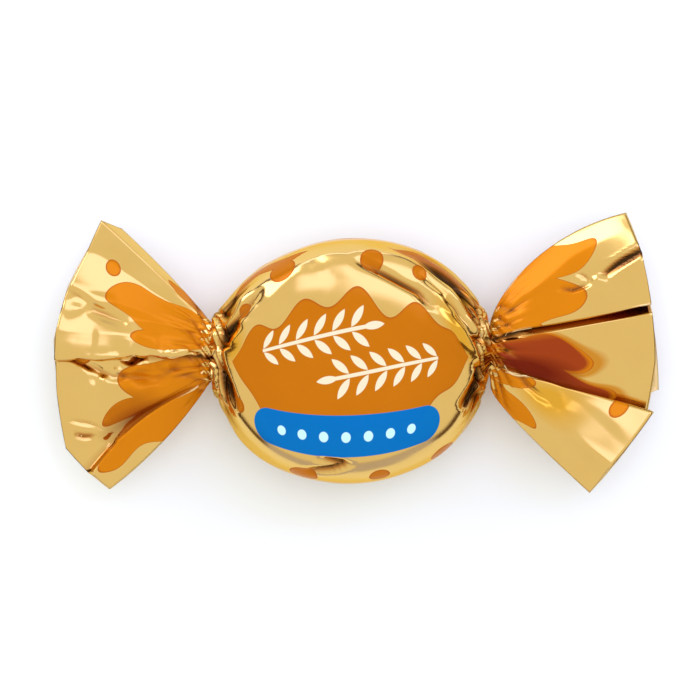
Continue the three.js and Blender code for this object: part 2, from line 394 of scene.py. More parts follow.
class Crease:
    """A crease drawn on the side that faces up, along a path of (x, y) points in mm.

    lift is its height at the line, below 0 for a valley. left and right are its widths on either
    side of the path as it is walked.
    """

    def __init__(self, lift, left, right, *path):
        self.lift, self.left, self.right = lift, left, right
        self.path = np.array(path, float)

    def at(self, x, y):
        """The crease's height at (x, y). It tapers off towards both ends of its path."""
        nearest = np.full(x.shape, np.inf)
        side = np.zeros(x.shape)
        way = np.zeros(x.shape)
        legs = np.linalg.norm(np.diff(self.path, axis=0), axis=1)
        walked = 0.0
        for (ax, ay), (bx, by), leg in zip(self.path, self.path[1:], legs):
            ux, uy = (bx - ax) / leg, (by - ay) / leg
            along = np.clip((x - ax) * ux + (y - ay) * uy, 0, leg)
            dx, dy = x - ax - along * ux, y - ay - along * uy
            away = np.hypot(dx, dy)
            nearer = away < nearest
            nearest = np.where(nearer, away, nearest)
            side = np.where(nearer, ux * dy - uy * dx, side)
            way = np.where(nearer, (walked + along) / legs.sum(), way)
            walked += leg
        width = np.where(side > 0, self.left, self.right)
        taper = np.sqrt(np.clip(4 * way * (1 - way), 0, 1))
        slope = 1 + (CREASE_ROUND - np.hypot(nearest, CREASE_ROUND)) / width
        return self.lift * taper * np.clip(slope, 0, 1)


BODY_CREASES = [
    Crease(0.30, 1.8, 3.0, (-7.6, 4.9), (-5.4, 7.2), (-3.4, 9.1)),
    Crease(0.24, 1.0, 2.0, (-3.6, 9.1), (-1.4, 9.45), (0.5, 9.35)),
    Crease(-0.50, 0.4, 0.4, (0.3, 9.2), (3.1, 7.75), (6.0, 6.2), (7.3, 4.6)),
    Crease(0.35, 1.0, 1.3, (0.0, 9.95), (5.6, 8.9), (9.4, 5.8), (11.8, 2.2)),
    Crease(-0.6, 0.8, 0.7, (3.6, 10.6), (6.6, 9.0), (9.6, 7.0), (10.7, 4.6), (12.0, 3.2)),
    Crease(-0.35, 0.4, 0.5, (6.2, 7.9), (9.2, 5.0), (11.9, 1.6)),
    Crease(-0.52, 0.42, 0.3, (-2.9, -8.75), (-0.5, -9.2), (-1.6, -9.6), (-4.4, -9.9)),
    Crease(-0.6, 0.9, 0.8, (12.6, 0.6), (12.2, -1.0), (11.2, -2.6), (9.9, -4.4)),
    Crease(-0.45, 0.7, 0.6, (-12.4, 0.8), (-11.4, 1.9), (-9.9, 3.4)),
    Crease(-0.55, 0.7, 0.9, (-12.6, 0.6), (-11.9, -0.6), (-11.2, -2.2), (-10.2, -4.6)),
    Crease(-0.35, 0.4, 0.6, (-12.0, 3.2), (-10.6, 5.6), (-8.6, 8.0)),
    Crease(-0.3, 0.3, 0.5, (-11.4, 2.4), (-9.4, 4.8), (-7.8, 6.6)),
]
LEFT_FAN_CREASES = [
    Crease(0.3, 3.0, 1.3, (-13.6, 1.8), (-18.5, 2.18), (-23.0, 2.53)),
    Crease(-0.30, 0.4, 0.9, (-25.6, 6.7), (-22.6, 4.6), (-20.0, 3.4)),
    Crease(0.25, 0.9, 0.6, (-25.6, 4.2), (-23.2, 5.3), (-21.0, 5.2)),
    Crease(
        -0.35, 0.4, 0.5, (-25.2, 0.7), (-23.6, -0.3), (-21.4, -1.35), (-17.2, -1.7), (-13.6, 1.1)
    ),
    Crease(0.30, 0.9, 0.7, (-21.6, -0.3), (-17.5, -0.7), (-13.8, 1.1)),
    Crease(-0.25, 0.4, 0.4, (-21.2, 0.0), (-20.3, -0.9), (-20.6, -1.5)),
    Crease(-0.25, 0.4, 0.3, (-25.5, -5.2), (-23.4, -5.6), (-21.8, -6.2)),
    Crease(-0.42, 0.5, 0.4, (-25.0, -6.5), (-23.9, -6.8), (-22.8, -6.7)),
    Crease(0.25, 1.2, 1.2, (-22.5, -2.0), (-19.0, -2.6), (-15.5, -1.4)),
]
RIGHT_FAN_CREASES = [
    Crease(-0.8, 0.5, 0.6, (22.3, 7.5), (23.9, 8.7), (26.2, 10.1), (29.5, 12.2)),
    Crease(-0.45, 0.3, 0.25, (18.7, 6.5), (19.9, 6.4), (21.5, 6.9)),
    Crease(-0.3, 0.25, 0.3, (20.2, 8.1), (21.1, 7.6), (21.8, 6.7)),
    Crease(0.3, 0.5, 0.5, (21.0, 6.2), (21.9, 7.2), (22.9, 7.6)),
    Crease(-0.4, 0.4, 0.4, (13.9, 0.2), (15.8, -2.2), (16.9, -3.1), (18.4, -3.7)),
    Crease(0.3, 1.5, 1.5, (15.5, 5.5), (20.0, 9.4), (25.0, 12.2)),
    Crease(0.3, 2.2, 1.8, (15.6, -2.6), (19.5, -5.9), (24.4, -10.6)),
]

# Spots of crumpled film on the fans: where they are, their radius, how high and how wide their
# facets are, and a seed.
LEFT_FAN_CRUMPLES = (
    (-24.6, 4.4, 2.6, 0.12, 2.6, 61),
    (-18.8, -0.9, 3.0, 0.42, 1.5, 62),
    (-22.6, -0.9, 1.6, 0.26, 1.0, 68),
    (-16.2, -0.4, 1.5, 0.24, 0.8, 69),
    (-21.7, -6.5, 1.3, 0.36, 0.8, 63),
    (-24.2, -6.6, 1.2, 0.16, 1.3, 64),
)
RIGHT_FAN_CRUMPLES = (
    (21.7, 7.0, 1.5, 0.12, 0.9, 65),
    (17.4, -4.0, 2.6, 0.22, 1.6, 66),
    (22.0, -6.4, 3.0, 0.22, 3.0, 67),
)
# Crumple of the body's shoulders, in long facets: where it is, the direction of the facets in
# degrees, half its length and width, how high and how wide the facets are, and a seed.
BODY_CRUMPLES = (
    (9.4, 4.6, -53, 4.4, 2.2, 0.34, 1.2, 71),
    (-9.9, 4.2, 52, 3.8, 1.7, 0.26, 1.1, 73),
)
SHOULDER_STRETCH = 3.0


def fan_crumple(spots, x, y):
    lift = np.zeros(x.shape)
    for at_x, at_y, radius, height, cell, seed in spots:
        near = fading((x - at_x) / radius, (y - at_y) / radius)
        lift += height * near * facets(x, y, cell, seed)
    return lift


def body_crumple(x, y):
    lift = np.zeros(x.shape)
    for at_x, at_y, heading, half_length, half_width, height, cell, seed in BODY_CRUMPLES:
        along, aside = turned(x, y, (at_x, at_y), heading)
        near = fading(along / half_length, aside / half_width)
        lift += height * near * facets(along / SHOULDER_STRETCH, aside, cell, seed)
    return lift


# ------------------------ the dressed wrapper

# Painted shade in folds deepens from the first depth to the second.
FOLD_SHADE_DEPTHS = (0.12, 0.55)
# The body's creases fade in as the film turns to face up, between these heights of its normal.
FACING_UP = (0.0, 0.6)

# The body's film is taut within the first distance of the printed side's middle. Beyond the
# second it is slack, in facets of this height and width, drawn out along the wrapper by this
# factor. Faint waves cover all of it.
TAUT_WITHIN = 7.0
SLACK_BEYOND = 11.0
SIDE_SLACK = 0.13
SIDE_FACET = 2.4
SIDE_STRETCH = 2.6
BODY_WAVE = 0.03
BODY_WAVELENGTH = 6.0

# The lap seam along the back: its place, its height, half the width of its step, and how far on
# the upper layer begins to sink in and has sunk in.
SEAM_PLACE = 57.0
SEAM_LIFT = 0.09
SEAM_STEP = 0.02
SEAM_SINKS_FROM = 3.0
SEAM_SUNK_AT = 6.0

# Facets and waves of a fan. They are this high at the rim.
FAN_SLACK = 0.12
FAN_FACET = 4.2
FAN_WAVE = 0.1
FAN_WAVELENGTH = 8.0
# Creases stay this many places off the top and bottom edges, and are whole from this share of
# the fan's length.
EDGE_MARGIN = 0.5
CREASES_WHOLE_AT = 0.3


def fold_shade_of(lift):
    """The shade painted into a fold, from 0 to 1: light does not reach the bottom of a deep one."""
    return smoothstep(*FOLD_SHADE_DEPTHS, -lift)


def seam_lift(place):
    beyond = (place - SEAM_PLACE) * FILM_GIRTH / PLACES
    step = smoothstep(-SEAM_STEP, SEAM_STEP, beyond)
    return SEAM_LIFT * step * smoothstep(SEAM_SUNK_AT, SEAM_SINKS_FROM, beyond)


def dress_body(arc, place):
    """The body's outer face, and the shade painted into its folds."""
    points = body_surface(arc, place)
    normals = normals_of(points)
    from_neck = BODY_HALF_LENGTH * np.radians(BODY_ARC - np.abs(arc))
    left = gathers(LEFT_BODY_PLEATS, place, from_neck, LEFT, -1)
    right = gathers(RIGHT_BODY_PLEATS, place, from_neck, RIGHT, -1)
    lift = np.where(arc < 0, left, right)
    facing_up = smoothstep(*FACING_UP, normals[..., 2])
    for crease in BODY_CREASES:
        lift += facing_up * crease.at(points[..., 0], points[..., 1])
    fold_shade = fold_shade_of(lift)

    lift += facing_up * body_crumple(points[..., 0], points[..., 1])
    u = BODY_HALF_LENGTH * np.radians(arc)
    v = (FRONT_MIDDLE - place) * FILM_GIRTH / PLACES
    off_middle = np.abs((v + FILM_GIRTH / 2) % FILM_GIRTH - FILM_GIRTH / 2)
    slack = SIDE_SLACK * smoothstep(TAUT_WITHIN, SLACK_BEYOND, off_middle)
    lift += slack * facets(u / SIDE_STRETCH, v, SIDE_FACET, seed=41)
    lift += BODY_WAVE * waves(u, v, BODY_WAVELENGTH, seed=21)
    lift += seam_lift(place)
    dressed = points + normals * lift[..., None]
    dressed[..., 2] = np.maximum(dressed[..., 2], 0)
    return dressed, fold_shade


def dress_fan(fan, pleats, creases, crumples, t, place):
    """A fan's outer face, and the shade painted into its folds. It is plain at the top and bottom
    edges.
    """
    points = fan_surface(fan, t, place)
    normals = normals_of(points) * fan.side
    lift = gathers(pleats, place, t * fan.length, fan, 1)
    front = (place > EDGE_MARGIN) & (place < BOTTOM_EDGE - EDGE_MARGIN)
    drawn = front * smoothstep(0, CREASES_WHOLE_AT, t)
    for crease in creases:
        lift += drawn * crease.at(points[..., 0], points[..., 1])
    fold_shade = fold_shade_of(lift)
    # Painted shade under the flaps, where the film lies against itself.
    for first, deepest, last, darkness in fan.gaps:
        under = darkness * np.interp(place, (first, deepest, last), (0, 1, 0))
        fold_shade = np.maximum(fold_shade, under)

    lift += front * fan_crumple(crumples, points[..., 0], points[..., 1])
    u, v = t * fan.length, place * FILM_GIRTH / PLACES
    lift += t * FAN_WAVE * waves(u, v, FAN_WAVELENGTH, seed=31 + fan.side)
    lift += t * FAN_SLACK * facets(u, v, FAN_FACET, seed=51 + fan.side)
    lift *= np.sqrt(np.abs(np.sin(2 * math.pi * place / PLACES)))
    return points + normals * lift[..., None], fold_shade


def film_rings():
    """The outer face from left to right: points, the shade painted into its folds, and each ring's
    u.
    """
    place = PLACE[None, :]
    t = (np.arange(FAN_RINGS + 1) / FAN_RINGS)[:, None] ** FAN_RING_SPACING
    # The body's rings crowd towards the necks.
    s = np.linspace(-1, 1, BODY_RINGS)[:, None]
    arc = BODY_ARC * (0.5 * s + 0.5 * np.sin(math.pi / 2 * s))

    left_parts = (LEFT_FAN_PLEATS, LEFT_FAN_CREASES, LEFT_FAN_CRUMPLES)
    right_parts = (RIGHT_FAN_PLEATS, RIGHT_FAN_CREASES, RIGHT_FAN_CRUMPLES)
    left, left_fold_shade = dress_fan(LEFT, *left_parts, t, place)
    body, body_fold_shade = dress_body(arc, place)
    right, right_fold_shade = dress_fan(RIGHT, *right_parts, t, place)
    points = np.concatenate([left[::-1], body, right])
    fold_shade = np.concatenate([left_fold_shade[::-1], body_fold_shade, right_fold_shade])
    left_u = -FILM_TO_NECK - t[::-1, 0] * LEFT.length
    body_u = BODY_HALF_LENGTH * np.radians(arc[:, 0])
    right_u = FILM_TO_NECK + t[:, 0] * RIGHT.length
    return points, fold_shade, np.concatenate([left_u, body_u, right_u])


def film_faces(ring_count):
    """Faces with four corners between the rings, then triangles that close both ends in a tip."""
    column = np.arange(COLUMNS)
    ring_start = np.arange(ring_count - 1)[:, None] * COLUMNS
    here, onward = ring_start + column, ring_start + np.roll(column, -1)
    quads = np.stack([here, onward, onward + COLUMNS, here + COLUMNS], -1).reshape(-1, 4)
    left_tip, right_tip = ring_count * COLUMNS, ring_count * COLUMNS + 1
    left_cap = [(left_tip, int(b), int(a)) for a, b in zip(here[0], onward[0])]
    last_ring, last_onward = here[-1] + COLUMNS, onward[-1] + COLUMNS
    right_cap = [(right_tip, int(a), int(b)) for a, b in zip(last_ring, last_onward)]
    return quads.tolist() + left_cap + right_cap


def film_map(ring_u):
    """Film coordinates in mm of each corner of film_faces, in their order.

    u runs along the wrapper from its middle, and v across it from the middle of the printed
    side. The cut between the two ends of v lies along the middle of the back.
    """
    whole_turn = np.where(PLACE >= BACK_MIDDLE, PLACES, 0)
    near, far = PLACE - whole_turn, np.append(PLACE[1:], PLACES) - whole_turn
    v = (FRONT_MIDDLE - np.stack([near, far, far, near], -1)) * FILM_GIRTH / PLACES
    quad_v = np.tile(v, (len(ring_u) - 1, 1, 1))
    u = np.stack([ring_u[:-1], ring_u[:-1], ring_u[1:], ring_u[1:]], -1)
    quad_u = np.repeat(u[:, None, :], COLUMNS, axis=1)
    cap_u = np.repeat([ring_u[0], ring_u[-1]], COLUMNS * 3)
    cap_v = np.tile(np.repeat(v[:, 0], 3), 2)
    u, v = np.append(quad_u, cap_u), np.append(quad_v, cap_v)
    return np.stack([u, v], -1)


def film_mesh():
    """The wrapper as one closed mesh, with its film coordinates and the shade painted into its
    folds.
    """
    outer, fold_shade, ring_u = film_rings()
    inner = outer - FILM_WALL * normals_of(outer)
    ring = np.arange(len(outer))
    in_left = ring[-ring_u > FILM_TO_NECK + HOLLOW_START * LEFT.length]
    in_right = ring[ring_u > FILM_TO_NECK + HOLLOW_START * RIGHT.length]
    order = np.concatenate([in_left[::-1], ring, in_right[::-1]])
    inside = np.repeat([True, False, True], [len(in_left), len(ring), len(in_right)])
    rings = np.where(inside[:, None, None], inner[order], outer[order])
    tips = [
        (fan.side * (fan.neck_x + HOLLOW_POINT * fan.length), fan.neck_y, AXIS_HEIGHT)
        for fan in (LEFT, RIGHT)
    ]
    points = np.concatenate([rings.reshape(-1, 3), tips])

    mesh = bpy.data.meshes.new("film")
    mesh.from_pydata((points * MM).tolist(), [], film_faces(len(rings)))
    mesh.shade_smooth()
    film = mesh.uv_layers.new(name="film")
    film.data.foreach_set("uv", film_map(ring_u[order]).ravel())
    # Shade painted into the folds, and in full at the tips inside the fans' hollows.
    shade = mesh.attributes.new("fold_shade", "FLOAT", "POINT")
    tip_shade = (1.0, 1.0)
    shade.data.foreach_set("value", np.append(fold_shade[order].ravel(), tip_shade))
    # The inner face and the tips have the second material.
    second = np.append(np.repeat(inside[:-1] & inside[1:], COLUMNS), np.ones(2 * COLUMNS, bool))
    mesh.polygons.foreach_set("material_index", second.astype(np.int32))
    mesh.update()
    mesh.validate()
    return mesh


# ------------------------ shader arithmetic

# The soft edge of the ink, in mm.
INK_EDGE = 0.05


class Term:
    """A number in the node tree that is being made, so that a pattern is written as a formula."""

    tree = None

    def __init__(self, socket):
        self.socket = socket

    @classmethod
    def of(cls, operation, *inputs, clamp=False):
        node = cls.tree.nodes.new("ShaderNodeMath")
        node.operation = operation
        node.use_clamp = clamp
        for socket, value in zip(node.inputs, inputs):
            if isinstance(value, Term):
                cls.tree.links.new(value.socket, socket)
            else:
                socket.default_value = value
        return cls(node.outputs[0])

    def __add__(self, other):
        return Term.of("ADD", self, other)

    def __sub__(self, other):
        return Term.of("SUBTRACT", self, other)

    def __rsub__(self, other):
        return Term.of("SUBTRACT", other, self)

    def __mul__(self, other):
        return Term.of("MULTIPLY", self, other)

    def __truediv__(self, other):
        return Term.of("DIVIDE", self, other)

    def __neg__(self):
        return 0.0 - self

    def __abs__(self):
        return Term.of("ABSOLUTE", self)

    __radd__ = __add__
    __rmul__ = __mul__


def larger(a, b):
    return Term.of("MAXIMUM", a, b)


def smaller(a, b):
    return Term.of("MINIMUM", a, b)


def hypot(a, b):
    return Term.of("SQRT", a * a + b * b)


def wrapped(x, low, high):
    return Term.of("WRAP", x, high, low)


def inked(depth, edge=INK_EDGE):
    """1 where depth, in mm inside an outline, is above 0, over a soft edge."""
    return Term.of("MULTIPLY_ADD", depth, 1 / edge, 0.5, clamp=True)


def disc(u, v, at, radius):
    return radius - hypot(u - at[0], v - at[1])


def wavy(x, middle, *sines):
    """A height that goes up and down along x: of each sine, its height, frequency and phase."""
    for height, frequency, phase in sines:
        middle = middle + height * Term.of("SINE", frequency * x + phase)
    return middle


def block(u, v, at, half_length, half_width, fade_u, fade_v):
    """1 inside a rectangle, falling to 0 over soft edges."""
    along = inked(half_length - abs(u - at[0]), fade_u)
    return along * inked(half_width - abs(v - at[1]), fade_v)


def blot(u, v, at, half_length, half_width, slant=0.0):
    """1 within half an oval's size, falling to 0 at one and a half times it.

    Its length slants by an angle in degrees.
    """
    along, aside = turned(u, v, at, slant)
    return inked(1.0 - hypot(along / half_length, aside / half_width), 1.0)


# ------------------------ the print, a generic design

# Everything here is in film coordinates: u along the wrapper and v across it, in mm.

# The pool of caramel: half its length, and the wavy edges above and below its middle.
POOL_HALF_LENGTH = 12.5
POOL_TOP = (4.9, (0.8, 1.2, 0.6), (0.5, 0.61, 2.1))
POOL_BOTTOM = (5.9, (0.8, 1.05, 2.4), (0.6, 0.52, -0.6))
# Tongues and runs sway across the film in this wave.
SWAY = (0.5, 0.8, 0.0)
# Tongues of caramel on the fans widen from this far out, and are cut off by this wavy line.
TONGUES_FROM = 17.8
TONGUE_ROOTS = (16.9, (0.5, 2.1, 0.0))
# Tongues on each fan: where across the film, half their width, and how far out they reach.
LEFT_TONGUES = (
    (7.8, 4.6, 27.4),
    (3.4, 3.0, 24.0),
    (-6.6, 4.2, 25.2),
    (-9.8, 2.4, 27.2),
    (-13.8, 3.4, 30.4),
    (15.4, 2.4, 22.5),
    (22.0, 4.5, 26.0),
    (29.0, 3.5, 23.0),
    (-21.5, 4.0, 25.5),
    (-28.5, 4.3, 27.0),
)
RIGHT_TONGUES = (
    (10.3, 4.2, 26.0),
    (14.6, 2.8, 28.0),
    (6.6, 2.2, 21.5),
    (-0.4, 3.8, 26.2),
    (-4.2, 2.8, 28.8),
    (-9.6, 2.4, 21.0),
    (-14.8, 2.4, 23.0),
    (21.5, 4.0, 25.0),
    (28.5, 4.3, 27.0),
    (-21.0, 4.2, 26.0),
    (-28.0, 3.6, 23.5),
)
# Round drops of caramel: their centre and radius.
CARAMEL_DROPS = (
    ((-6.3, 8.6), 1.3),
    ((1.9, 8.3), 1.05),
    ((6.4, 7.9), 0.75),
    ((-10.8, 6.2), 0.8),
    ((-11.6, -5.4), 0.9),
    ((-4.3, -10.9), 1.35),
    ((2.6, -10.6), 0.95),
    ((8.9, -11.2), 1.3),
    ((-27.6, 10.6), 0.8),
    ((-28.4, -3.4), 1.0),
    ((28.9, -8.6), 0.8),
    ((-28.0, -13.2), 1.0),
)
# Long runs of caramel: their centre, half their length and half their width.
CARAMEL_RUNS = (
    ((8.8, 10.7), 5.6, 1.1),
    ((-8.2, 10.4), 4.4, 0.9),
    ((-0.4, 14.2), 3.4, 1.0),
    ((7.8, -14.0), 3.4, 0.8),
    ((-7.9, -14.6), 4.0, 1.0),
    ((-8.3, 20.2), 3.4, 1.1),
    ((3.9, 21.6), 3.8, 1.2),
    ((-4.1, -21.8), 3.6, 1.2),
    ((11.6, -20.4), 3.0, 1.0),
)

# The blue band: its middle, half the distance between the middles of its round ends, and their
# radius. Its dots: their radius, their pitch, and how far from the middle they are drawn.
BAND_AT = (-0.4, -6.1)
BAND_HALF_LENGTH = 7.3
BAND_RADIUS = 1.7
DOT_RADIUS = 0.42
DOT_PITCH = 2.0
DOTS_REACH = 6.9

# Sprigs: the root of each, its direction in degrees and its length.
SPRIGS = (
    ((-8.4, 1.3), 9, 10.2),
    ((8.4, 0.1), 189, 10.2),
)
STEM_HALF_WIDTH = 0.16
# Leaves: about how far apart, where the first one is from the root, its direction and its size.
LEAF_PITCH = 1.7
LEAF_AT = (0.78, 0.95)
LEAF_HEADING = 48
LEAF_LENGTH = 2.0
LEAF_WIDTH = 0.66
# How far the middle of the last leaf is beyond the stem.
TIP_LEAF_BEYOND = 0.4

# Blocks of film: their middle, half their length and width, and how soft their ends and sides are.
# Shade is painted in the middle of the right fan and on a shoulder, and onto the caramel towards
# the rim under the left fan's middle.
SHADED_BLOCKS = (
    ((22.0, -1.2), 8.5, 4.2, 3.0, 2.4),
    ((11.0, 11.0), 4.5, 2.5, 3.0, 1.0),
)
SHADED_TONGUE = ((-30.0, -10.2), 7.5, 2.4, 3.0, 2.0)
# Blots: their middle, half their length and width, and how they slant. There is shade beside the
# lower flap of either fan, which is only this share as dark at the left.
RIGHT_FLAP_SHADE = ((20.2, -3.4), 3.8, 2.2)
LEFT_FLAP_SHADE = ((-23.8, -11.2), 3.2, 1.5)
LEFT_FLAP_SHARE = 0.75
# Painted reflection: gold shows gold again beside the necks, and so looks deeper.
GOLD_REFLECTION_BLOTS = (
    ((11.3, 2.8), 4.2, 1.3, -53.0),
    ((22.8, -10.2), 3.2, 2.0, 0.0),
    ((-12.6, 2.6), 1.6, 3.0, 0.0),
)


def pool(u, v):
    reach = u / POOL_HALF_LENGTH
    ends = 1.0 - reach * reach * reach * reach
    return smaller(wavy(u, *POOL_TOP) * ends - v, v + wavy(u, *POOL_BOTTOM) * ends)


def tongue(out, v, middle, half_width, tip):
    aside = (v - middle) / half_width
    return tip - (tip - TONGUES_FROM) * (aside * aside) - out


def tongues(out, v, sizes):
    ink = reduce(larger, [tongue(out, v, *each) for each in sizes])
    return smaller(ink, out - wavy(v, *TONGUE_ROOTS))


def caramel_run(u, v, at, half_length, half_width):
    way = (u - at[0]) / half_length
    return half_width - half_width * (way * way) - abs(v - at[1])


def caramel(u, v):
    """A pool with wavy edges along the printed side, tongues on the fans, drops and runs."""
    swayed = wavy(u, v, SWAY)
    inks = [pool(u, v), tongues(-u, swayed, LEFT_TONGUES), tongues(u, swayed, RIGHT_TONGUES)]
    inks += [disc(u, v, *sizes) for sizes in CARAMEL_DROPS]
    inks += [caramel_run(u, swayed, *sizes) for sizes in CARAMEL_RUNS]
    return reduce(larger, inks)


def blue_band(u, v):
    beyond = larger(abs(u - BAND_AT[0]) - BAND_HALF_LENGTH, 0.0)
    return BAND_RADIUS - hypot(beyond, v - BAND_AT[1])


def band_dots(u, v):
    along = u - BAND_AT[0]
    nearest = wrapped(along, -DOT_PITCH / 2, DOT_PITCH / 2)
    return smaller(DOT_RADIUS - hypot(nearest, v - BAND_AT[1]), DOTS_REACH - abs(along))


def leaf(u, v, at, heading):
    """A leaf between two arcs, round the point at, that points along heading in degrees."""
    radius = (LEAF_LENGTH**2 + LEAF_WIDTH**2) / (4 * LEAF_WIDTH)
    gap = radius - LEAF_WIDTH / 2
    across, up = -math.sin(math.radians(heading)) * gap, math.cos(math.radians(heading)) * gap
    first = disc(u, v, (at[0] + across, at[1] + up), radius)
    second = disc(u, v, (at[0] - across, at[1] - up), radius)
    return smaller(first, second)


def sprig(u, v, root, heading, length):
    """A straight stem with pairs of leaves, from its root along heading in degrees."""
    along, across = turned(u, v, root, heading)
    aside = abs(across)
    on_stem = length / 2 - abs(along - length / 2)
    stem = smaller(STEM_HALF_WIDTH - aside, on_stem)
    pitch = length / round(length / LEAF_PITCH)
    leaves = leaf(wrapped(along, 0.0, pitch), aside, LEAF_AT, LEAF_HEADING)
    tip = leaf(along, aside, (length + TIP_LEAF_BEYOND, 0), 0)
    return reduce(larger, [stem, smaller(leaves, on_stem), tip])


def sprigs(u, v):
    return reduce(larger, [sprig(u, v, *sizes) for sizes in SPRIGS])


# Painted shade in the middle of the right fan and on a shoulder.
def shaded_blocks(u, v):
    return reduce(larger, [block(u, v, *sizes) for sizes in SHADED_BLOCKS])


def flap_shade(u, v):
    left = LEFT_FLAP_SHARE * blot(u, v, *LEFT_FLAP_SHADE)
    return larger(blot(u, v, *RIGHT_FLAP_SHADE), left)


# Painted reflection of gold in gold.
def gold_reflection(u, v):
    return reduce(larger, [blot(u, v, *sizes) for sizes in GOLD_REFLECTION_BLOTS])


# ------------------------ materials

WHITE = (1.0, 1.0, 1.0)
GOLD = (0.765, 0.500, 0.148)
GOLD_DEEP = (0.725, 0.460, 0.128)
# REFLECTED_GOLD is a painted reflection of gold in gold.
REFLECTED_GOLD = (0.74, 0.37, 0.022)
# GOLD_SHADED, ORANGE_SHADED and SHADED are painted shade.
GOLD_SHADED = (0.62, 0.24, 0.012)
ORANGE = (0.63, 0.203, 0.003)
# ORANGE_DEEP is caramel with less painted light, as on the body, and the deep end of its clouds.
ORANGE_DEEP = (0.485, 0.14, 0.002)
ORANGE_SHADED = (0.31, 0.043, 0.006)
ORANGE_RIM = (0.40, 0.085, 0.003)
SHADED = (0.15, 0.010, 0.0015)
BLUE = (0.002, 0.185, 0.56)
CREAM = (0.75, 0.67, 0.46)
ICE = (0.52, 0.80, 0.80)
# Painted into folds: a painted reflection of gold in gold on the side of a fold, and painted
# shade at the bottom of a deep one.
FOLD_SIDE = (0.42, 0.13, 0.012)
FOLD_BOTTOM = (0.05, 0.02, 0.004)
# The tint of the film's sheen at a glancing angle.
GLANCING = (1.0, 0.76, 0.34)
BARE_GOLD = (0.86, 0.64, 0.30)
BARE_GOLD_DEEP = (0.80, 0.58, 0.25)
FLOOR_PALE = (0.88, 0.925, 0.925)
FLOOR_DEEP = (0.85, 0.895, 0.895)

# How many clouds of deeper colour each mm of film has, and specks each m of floor.
PRINT_CLOUDS = 0.35
BARE_CLOUDS = 0.5
FLOOR_SPECKS = 60.0

# Caramel is brighter on the fans, as painted light, by this share, from this far out and over
# this soft edge. Clouds make up the rest.
BRIGHT_SHARE = 0.75
BRIGHT_FROM = 15.0
BRIGHT_EDGE = 4.0
# A rim of this width goes round the caramel, over this soft edge.
RIM_WIDTH = 0.12
RIM_EDGE = 0.2
# The painted shade leaves this much of the caramel's edge clear, and spreads this far beyond it
# over the gold, each over a soft edge.
SHADE_INSET = 0.5
SHADE_INSET_EDGE = 0.6
SHADE_SPREAD = 1.1
SHADE_SPREAD_EDGE = 0.9
# How far each painted reflection or painted shade takes the place of the colour below it, at most.
REFLECTION_SHARE = 0.9
GOLD_SHADE_SHARE = 0.9
TONGUE_SHADE_SHARE = 0.36
FOLD_SHARE = 0.8
# How much of the gold's mirror caramel covers.
CARAMEL_COVER = 0.7
# How rough the print is, and what caramel, blue and clouds add to that.
PRINT_ROUGHNESS = 0.12
CARAMEL_ROUGHNESS = 0.1
BLUE_ROUGHNESS = 0.2
CLOUD_ROUGHNESS = 0.06
BARE_ROUGHNESS = 0.30

# Fine pleats: where the necks are, how far from a neck they are deepest, how fast they fade from
# there, how deep they are elsewhere, their frequencies along and across the film, and the height
# of the deepest in metres.
NECK_AT = 16.4
CRINKLE_DEEPEST = 2.4
CRINKLE_FADE = 0.3
CRINKLE_ELSEWHERE = 0.03
CRINKLE_FREQUENCIES = (0.22, 0.62)
CRINKLE_HEIGHT = 0.00016


def new_material(name):
    material = bpy.data.materials.new(name)
    material.use_nodes = True
    tree = material.node_tree
    tree.nodes.clear()
    Term.tree = tree
    output = tree.nodes.new("ShaderNodeOutputMaterial")
    surface = tree.nodes.new("ShaderNodeBsdfPrincipled")
    tree.links.new(surface.outputs[0], output.inputs[0])
    return material, tree, surface


def noise(tree, coordinates, scale):
    node = tree.nodes.new("ShaderNodeTexNoise")
    node.inputs["Scale"].default_value = scale
    tree.links.new(coordinates, node.inputs["Vector"])
    return Term(node.outputs["Fac"])


def tint(tree, share, below, above):
    """A colour between two others, or a colour and a socket, by a share from 0 to 1."""
    mix = tree.nodes.new("ShaderNodeMix")
    mix.data_type = "RGBA"
    tree.links.new(share.socket, mix.inputs["Factor"])
    for socket, colour in ((mix.inputs["A"], below), (mix.inputs["B"], above)):
        if isinstance(colour, tuple):
            socket.default_value = (*colour, 1.0)
        else:
            tree.links.new(colour, socket)
    return mix.outputs["Result"]


def film_coordinates(tree):
    coordinates = tree.nodes.new("ShaderNodeUVMap")
    coordinates.uv_map = "film"
    split = tree.nodes.new("ShaderNodeSeparateXYZ")
    tree.links.new(coordinates.outputs[0], split.inputs[0])
    return coordinates.outputs[0], Term(split.outputs[0]), Term(split.outputs[1])


def crinkle(tree, surface, u, v):
    """Fine pleats along the film, deepest a little way from the necks, and faint elsewhere."""
    off_deepest = abs(abs(u) - NECK_AT) - CRINKLE_DEEPEST
    gathered = Term.of("EXPONENT", -(CRINKLE_FADE * (off_deepest * off_deepest)))
    stretched = tree.nodes.new("ShaderNodeCombineXYZ")
    for term, frequency, socket in zip((u, v), CRINKLE_FREQUENCIES, stretched.inputs):
        tree.links.new((frequency * term).socket, socket)
    pleats = noise(tree, stretched.outputs[0], 1.0) * (gathered + CRINKLE_ELSEWHERE)
    bump = tree.nodes.new("ShaderNodeBump")
    bump.inputs["Strength"].default_value = 1.0
    bump.inputs["Distance"].default_value = CRINKLE_HEIGHT
    tree.links.new(pleats.socket, bump.inputs["Height"])
    tree.links.new(bump.outputs[0], surface.inputs["Normal"])


